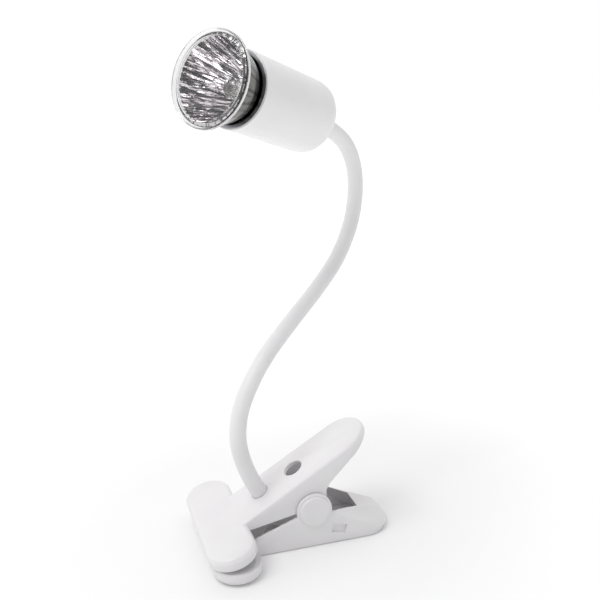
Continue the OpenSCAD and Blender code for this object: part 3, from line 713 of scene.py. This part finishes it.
LAST_RING = len(BENDS) * POINTS_PER_LENGTH
sleeve_line = [neck_frame(i / POINTS_PER_LENGTH).translation for i in range(LAST_RING + 1)]
sleeve_line[0] = foot @ Vector((0, 0, -SLEEVE_SUNK))
sleeve_line[-1] = HEAD @ Vector((0, 0, -END_GAP))
line_mesh = bpy.data.meshes.new("sleeve_line")
line_mesh.from_pydata(sleeve_line, [(i, i + 1) for i in range(len(sleeve_line) - 1)], [])
whole_sleeve = run_tree("whole_sleeve", line_mesh, TUBE, radius=SLEEVE_R, sides=SLEEVE_SIDES,
                        closed_ends=False, finish=sleeve_plastic)
coil_middle_r = CORE_R - COIL_WIRE_R - END_GAP
for k in range(1, len(CHAIN)):
    nodes = [k] if k > 1 else [0, 1]
    low = 0 if k == 1 else round((k - 0.5) * POINTS_PER_LENGTH)
    high = LAST_RING if k == 8 else round((k + 0.5) * POINTS_PER_LENGTH)
    name = f"gooseneck_sleeve_{k}"
    sleeve = walled(cut_sleeve(whole_sleeve, name, low, high), name)
    dress(sleeve, across_hinge(k), sleeve_plastic, "white_sleeve",
          *[f"neck_sleeve_{n}" for n in nodes])
    coil = tube(f"gooseneck_coil_{k}",
                neck_points(*stretch_of(k, NIPPLE_REACH), coil_middle_r, WINDS,
                            round(WINDS * 12)), COIL_WIRE_R, zinc_steel, 6)
    dress(coil, across_hinge(k), zinc_steel, "steel", *[f"neck_core_{n}" for n in nodes])
    for phase, side in ((math.pi / 2, "a"), (-math.pi / 2, "b")):
        lead = tube(f"gooseneck_lead_{k}{side}",
                    neck_points(*stretch_of(k), LEAD_OFFSET, 0, 12, phase), LEAD_R, lead_cover, 12)
        dress(lead, across_hinge(k), lead_cover, "lead_cover", *[f"neck_leads_{n}" for n in nodes])
print("gooseneck:", len(CHAIN) - 1, "pieces of sleeve and coil, total length",
      round(len(BENDS) * LENGTH / MM), "mm")

# %% [markdown]
# ## Head shell and heat liner
# The head is a drawn cylinder with a softly rounded rear edge, open at the front. A thin metal
# liner keeps the bulb's heat off it and shows as a rolled grey lip at the mouth. Both are turned.

# %% Head shell and liner
HOUSE_R, HOUSE_LEN, HOUSE_ROUND, HOUSE_WALL = 21, 68, 8, 2
REAR_WALL, NECK_HOLE_R, LIP = 2.5, 3.9, 0.8
BORE_R, MOUTH_Z = HOUSE_R - HOUSE_WALL, HOUSE_LEN - LIP
shell = lathe("head_shell", [(NECK_HOLE_R, 0, 0.2), (HOUSE_R, 0, HOUSE_ROUND),
                             (HOUSE_R, MOUTH_Z, 0.5), (BORE_R, MOUTH_Z, 0.3),
                             (BORE_R, REAR_WALL, HOUSE_ROUND - HOUSE_WALL),
                             (NECK_HOLE_R, REAR_WALL, 0)], HEAD, 128)
dress(shell, "head", head_plastic, "white_plastic", "housing")
LINER_R, LINER_WALL, LINER_FROM, LIP_R = BORE_R - 0.1, 0.7, 46, HOUSE_R - 0.4
LIP_SEAT = MOUTH_Z + 0.02
liner = lathe("heat_liner_ring", [(LINER_R - LINER_WALL, LINER_FROM, 0), (LINER_R, LINER_FROM, 0),
                                  (LINER_R, LIP_SEAT, 0), (LIP_R, LIP_SEAT, 0.15),
                                  (LIP_R, HOUSE_LEN, 0.35),
                                  (LINER_R - LINER_WALL, HOUSE_LEN, 0.35)], HEAD, 128)
dress(liner, "head", liner_metal, "liner", "heat_liner")
print("head shell and liner turned")

# %% [markdown]
# ## Reflector
# The bulb's bowl is pressed glass with a mirror coat, and its wall is folded into narrow flutes,
# broken again by rings, that spread the light. The flutes follow a rule, so a Geometry Nodes tree
# makes them: a grid is wrapped round the axis, every second column stands nearer to it, the rows
# follow the bowl's curve, and the seam is welded. The facets stay flat-shaded, which gives each
# its own reflection, and the mirror's colour is painted in dark and light streaks, darker on one
# side: painted reflections. Behind the mirror the bowl's back is a thin shell of its own, in dark
# glass with painted reflection streaks.

# %% Reflector tree
BULB_OUT, BULB_LEN, BASE_LEN, FLANGE_T = 20.7, 46, 10, 4
RIM_Z = HOUSE_LEN + BULB_OUT
BASE_Z = RIM_Z - BULB_LEN
BOWL_Z = BASE_Z + BASE_LEN
BOWL_H = RIM_Z - FLANGE_T - BOWL_Z
BOWL_NECK_R, BOWL_MOUTH_R, BOWL_CURVE, GLASS = 8, 22.9, 0.62, 1.4
BACK_COAT = 0.2


def polar_uv(obj):
    """UV map of a round piece of the head: share of a turn, and share of the bowl's height."""
    to_head = HEAD.inverted()
    layer = obj.data.uv_layers.new(name="polar")
    for face in obj.data.polygons:
        centre = to_head @ face.center
        middle = math.atan2(centre.y, centre.x) / math.tau
        for corner in face.loop_indices:
            point = to_head @ obj.data.vertices[obj.data.loops[corner].vertex_index].co
            share = math.atan2(point.y, point.x) / math.tau
            share += round(middle - share)
            layer.data[corner].uv = (share, (point.z / MM - BOWL_Z) / BOWL_H)


def facet_tree():
    """The tree that makes the fluted bowl; it needs no mesh to start from."""
    tree = bpy.data.node_groups.new("facet_bowl", "GeometryNodeTree")
    face = tree.interface
    for name, kind in (("Facets round", "Int"), ("Rings", "Int"), ("Neck radius", "Float"),
                       ("Mouth radius", "Float"), ("Height", "Float"), ("Curve", "Float"),
                       ("Flute depth", "Float"), ("Finish", "Material")):
        face.new_socket(name, in_out="INPUT", socket_type="NodeSocket" + kind)
    face.new_socket("Bowl", in_out="OUTPUT", socket_type="NodeSocketGeometry")
    node, link = tree.nodes.new, tree.links.new
    given, result = node("NodeGroupInput"), node("NodeGroupOutput")

    def math_node(operation, first, second=None):
        step = node("ShaderNodeMath")
        step.operation = operation
        for socket, value in zip(step.inputs, (first, second)):
            if hasattr(value, "is_output"):
                link(value, socket)
            elif value is not None:
                socket.default_value = value
        return step.outputs[0]

    grid = node("GeometryNodeMeshGrid")
    link(math_node("ADD", given.outputs["Facets round"], 1), grid.inputs["Vertices X"])
    link(math_node("ADD", given.outputs["Rings"], 1), grid.inputs["Vertices Y"])
    place, parts = node("GeometryNodeInputPosition"), node("ShaderNodeSeparateXYZ")
    link(place.outputs[0], parts.inputs[0])
    angle = math_node("MULTIPLY", parts.outputs["X"], math.tau)
    up_wall = math_node("ADD", parts.outputs["Y"], 0.5)
    share = math_node("POWER", up_wall, given.outputs["Curve"])
    # every second column of the grid stands nearer the axis, which folds the wall into flutes
    column = math_node("MULTIPLY", math_node("ADD", parts.outputs["X"], 0.5),
                       given.outputs["Facets round"])
    fold = math_node("MODULO", math_node("ROUND", column), 2)
    full_fold = math_node("MULTIPLY", fold, given.outputs["Flute depth"])
    sunk = math_node("MULTIPLY", full_fold, share)
    spread = math_node("SUBTRACT", given.outputs["Mouth radius"], given.outputs["Neck radius"])
    plain = math_node("ADD", math_node("MULTIPLY", share, spread), given.outputs["Neck radius"])
    radius = math_node("SUBTRACT", plain, sunk)
    wrapped = node("ShaderNodeCombineXYZ")
    link(math_node("MULTIPLY", radius, math_node("COSINE", angle)), wrapped.inputs["X"])
    link(math_node("MULTIPLY", radius, math_node("SINE", angle)), wrapped.inputs["Y"])
    link(math_node("MULTIPLY", up_wall, given.outputs["Height"]), wrapped.inputs["Z"])
    move, weld = node("GeometryNodeSetPosition"), node("GeometryNodeMergeByDistance")
    realize, finish_node = node("GeometryNodeRealizeInstances"), node("GeometryNodeSetMaterial")
    weld.inputs["Distance"].default_value = 1e-5
    link(grid.outputs["Mesh"], move.inputs["Geometry"])
    link(wrapped.outputs[0], move.inputs["Position"])
    link(move.outputs[0], weld.inputs["Geometry"])
    link(weld.outputs[0], realize.inputs[0])
    link(realize.outputs[0], finish_node.inputs["Geometry"])
    link(given.outputs["Finish"], finish_node.inputs["Material"])
    link(finish_node.outputs[0], result.inputs["Bowl"])
    return tree


FACET_BOWL = facet_tree()
print("facet tree has", len(FACET_BOWL.nodes), "nodes, the bowl is", round(BOWL_H, 1), "mm high")

# %% Reflector bowl
bowl_mesh = run_tree("reflector_bowl", bpy.data.meshes.new("placeholder"), FACET_BOWL,
                     facets_round=96, rings=7, flute_depth=0.5 * MM,
                     neck_radius=(BOWL_NECK_R - GLASS) * MM,
                     mouth_radius=(BOWL_MOUTH_R - GLASS) * MM, height=BOWL_H * MM,
                     curve=BOWL_CURVE, finish=mirror)
bowl = add_object("reflector_bowl", bowl_mesh, HEAD @ Matrix.Translation((0, 0, BOWL_Z * MM)))
axis_point = HEAD @ Vector((0, 0, (BOWL_Z + BOWL_H / 2) * MM))
first = bowl.data.polygons[0]
outward = (first.center - axis_point).dot(first.normal) > 0
thicken(bowl, (GLASS - BACK_COAT) * MM, 1 if outward else -1)
bm = bmesh.new()
bm.from_mesh(bowl.data)
bmesh.ops.recalc_face_normals(bm, faces=bm.faces)
bm.to_mesh(bowl.data)
bm.free()
polar_uv(bowl)
dress(bowl, "bulb", mirror, "mirror_glass", "bulb_reflector")
print("reflector has", len(bowl.data.polygons), "faces")

# %% Back of the reflector
def bowl_radius(share):
    """Outer radius of the bowl at a share of its height."""
    return BOWL_NECK_R + (BOWL_MOUTH_R - BOWL_NECK_R) * share ** BOWL_CURVE


BACK_STEPS, BACK_SKIN = 24, BACK_COAT - 0.02
back_outside = [(bowl_radius(i / BACK_STEPS), BOWL_Z + BOWL_H * i / BACK_STEPS)
                for i in range(BACK_STEPS + 1)]
back_inside = [(r - BACK_SKIN, z) for r, z in reversed(back_outside)]
bowl_back = lathe("reflector_back", back_outside + back_inside, HEAD, 104, 60)
polar_uv(bowl_back)
dress(bowl_back, "bulb", smoked_glass, "mirror_glass", "bulb_reflector")
print("reflector back turned")

# %% [markdown]
# ## Rim, cover glass, capsule and filament
# The bowl ends in a clear glass flange, closed by a cover glass. Inside sits a small quartz
# capsule, pinched flat at its base, with a coiled filament. Glass shows by its edges, so each of
# these has real thickness and eased corners.

# %% Rim and cover glass
RIM_R, RIM_BORE_R = 25, 21.5
RIM_BACK, RIM_FRONT, COVER_BACK = RIM_Z - 3.9, RIM_Z - 1.6, RIM_Z - 1.5
COVER_R = RIM_R - 0.3
rim = lathe("reflector_rim", [(RIM_BORE_R, RIM_BACK, 0), (23.6, RIM_BACK, 0.8),
                              (RIM_R, RIM_Z - 3.0, 0.5), (RIM_R, RIM_FRONT, 0.3),
                              (RIM_BORE_R, RIM_FRONT, 0)], HEAD, 128)
dress(rim, "bulb", clear_glass, "clear_glass", "bulb_reflector")
cover = lathe("cover_glass", [(0, COVER_BACK, 0), (COVER_R, COVER_BACK, 0.3),
                              (COVER_R, RIM_Z - 0.5, 0.5), (RIM_R - 3.6, RIM_Z, 1.2),
                              (0, RIM_Z, 0)], HEAD, 128)
dress(cover, "bulb", clear_glass, "clear_glass", "bulb_glass")
print("rim", 2 * RIM_R, "mm across, cover glass", round(2 * COVER_R, 1), "mm")

# %% Quartz capsule
to_capsule = HEAD @ Matrix.Translation((0, 0, (BASE_Z + 9) * MM))


def loft(name, sections, place, sides=40):
    """Closed form through sections (z, half width, half depth, squareness) in millimetres."""
    bm = bmesh.new()
    rings = []
    for z, wide, deep, square in sections:
        ring = []
        for s in range(sides):
            c, d = math.cos(math.tau * s / sides), math.sin(math.tau * s / sides)
            ring.append(bm.verts.new((wide * MM * math.copysign(abs(c) ** square, c),
                                      deep * MM * math.copysign(abs(d) ** square, d), z * MM)))
        rings.append(ring)
    for low, high in zip(rings, rings[1:]):
        for s in range(sides):
            bm.faces.new((low[s], low[(s + 1) % sides], high[(s + 1) % sides], high[s]))
    bm.faces.new(rings[0][::-1])
    bm.faces.new(rings[-1])
    bmesh.ops.recalc_face_normals(bm, faces=bm.faces)
    mesh = bpy.data.meshes.new(name)
    bm.to_mesh(mesh)
    bm.free()
    return add_object(name, shade(mesh, 40), place)


DOME_R, DOME_Z = 5.0, 18
dome = [(DOME_Z + DOME_R * math.sin(a), DOME_R * math.cos(a), DOME_R * math.cos(a), 1)
        for a in [math.radians(12 * i) for i in range(1, 8)]]
capsule = loft("quartz_capsule",
               [(0, 3.9, 1.35, 0.5), (0.3, 4, 1.5, 0.5), (5.6, 4, 1.5, 0.5), (7.2, 4.3, 3.4, 0.8),
                (8.4, 4.8, 4.8, 1), (DOME_Z, DOME_R, DOME_R, 1)] + dome, to_capsule)
dress(capsule, "bulb", quartz, "quartz", "bulb_capsule")
print("capsule", DOME_Z + DOME_R, "mm long")

# %% Filament
FILAMENT_TURNS, STEPS_PER_WIND = 9, 12
FILAMENT_HALF, FILAMENT_COIL_R, FILAMENT_Z, LEG_Z = 2.6, 0.62, 14, 6


def filament_point(i):
    """Point i of the filament's helix, in millimetres from the foot of the capsule."""
    angle = math.tau * i / STEPS_PER_WIND
    along = 2 * i / (FILAMENT_TURNS * STEPS_PER_WIND) - 1
    return (FILAMENT_HALF * along, FILAMENT_COIL_R * math.cos(angle),
            FILAMENT_Z + FILAMENT_COIL_R * math.sin(angle))


filament_points = [filament_point(i) for i in range(FILAMENT_TURNS * STEPS_PER_WIND + 1)]
filament_points = [(-FILAMENT_HALF, 0, LEG_Z)] + filament_points + [(FILAMENT_HALF, 0, LEG_Z)]
filament = tube("filament_coil", [to_capsule @ (Vector(p) * MM) for p in filament_points],
                0.1 * MM, tungsten, 6)
dress(filament, "bulb", tungsten, "filament", "bulb_filament")
print("bulb done, filament with", FILAMENT_TURNS, "turns")

# %% [markdown]
# ## Threaded nipples
# Each end of the gooseneck is held by a short threaded tube with a washer and a locknut. A thread
# is a radius that depends on height and angle together, so one grid of points makes it.

# %% Threaded nipples
THREAD_PITCH, THREAD_DEPTH = 0.8, 0.35


def threaded_tube(name, place, low, high, outer=3.8, bore=2.5, sides=36):
    """A tube with an outside thread, from low to high in millimetres."""
    bm = bmesh.new()
    rows = round((high - low) / THREAD_PITCH * 6)
    rings = []
    for i in range(rows + 1):
        z = low + (high - low) * i / rows
        ring = []
        for s in range(sides):
            turn_share = (z / THREAD_PITCH - s / sides) % 1
            r = outer - THREAD_DEPTH * abs(2 * turn_share - 1)
            ring.append(bm.verts.new((r * MM * math.cos(math.tau * s / sides),
                                      r * MM * math.sin(math.tau * s / sides), z * MM)))
        rings.append(ring)
    for z in (high, low):
        rings.append([bm.verts.new((bore * MM * math.cos(math.tau * s / sides),
                                    bore * MM * math.sin(math.tau * s / sides), z * MM))
                      for s in range(sides)])
    for i, ring in enumerate(rings):
        other = rings[(i + 1) % len(rings)]
        for s in range(sides):
            bm.faces.new((ring[s], ring[(s + 1) % sides], other[(s + 1) % sides], other[s]))
    bmesh.ops.recalc_face_normals(bm, faces=bm.faces)
    mesh = bpy.data.meshes.new(name)
    bm.to_mesh(mesh)
    bm.free()
    return add_object(name, shade(mesh, 30), place)


down_foot = foot @ turn(180, "X")
INTO_NECK = 2.4
foot_nipple = threaded_tube("foot_nipple", down_foot, -INTO_NECK, 8.4)
dress(foot_nipple, "upper_clip", zinc_steel, "steel", "base_nipple")
head_thread = threaded_tube("head_thread", HEAD, -INTO_NECK, 9.7)
dress(head_thread, "head", zinc_steel, "steel", "head_nipple")
print("two threaded nipples")

# %% [markdown]
# ## Small parts kept from the frame
# The lampholder, its bracket, screws, contacts, washers, nuts and the leads are right as they
# are measured. Copies with joined triangles and slightly broken edges stand for those that have
# corners, and every one gets its real finish.

# %% Small parts
SMALL = {
    "lower_jaw_pad": ("lower_clip", jaw_rubber, "rubber", 0.2),
    "upper_jaw_pad": ("upper_clip", jaw_rubber, "rubber", 0.2),
    "pivot_pin": ("lower_clip", zinc_steel, "steel", 0.2),
    "base_washer": ("upper_clip", zinc_steel, "steel", 0.12),
    "base_locknut": ("upper_clip", zinc_steel, "steel", 0.25),
    "clip_leads": ("upper_clip", lead_cover, "lead_cover", 0),
    "splice_caps": ("upper_clip", steatite, "lead_cover", 0.2),
    "holder_bracket": ("head", zinc_steel, "steel", 0.15),
    "holder_body": ("head", steatite, "ceramic", 0.2),
    "holder_cap": ("head", steatite, "ceramic", 0.2),
    "holder_contacts": ("head", contact_brass, "contact", 0),
    "holder_screws": ("head", zinc_steel, "steel", 0.12),
    "head_washer": ("head", zinc_steel, "steel", 0.12),
    "head_locknut": ("head", zinc_steel, "steel", 0.25),
    "head_leads": ("head", lead_cover, "lead_cover", 0),
    "bulb_base": ("bulb", steatite, "ceramic", 0.25),
    "bulb_pins": ("bulb", pin_nickel, "pin_metal", 0.15),
}
for node, (body, material, slot_name, ease) in SMALL.items():
    dress(merged_copy(node, node + "_finished", 35, ease * MM), body, material, slot_name, node)
print(len(SMALL), "small parts finished")

# %% Update the scene
bpy.context.view_layer.update()
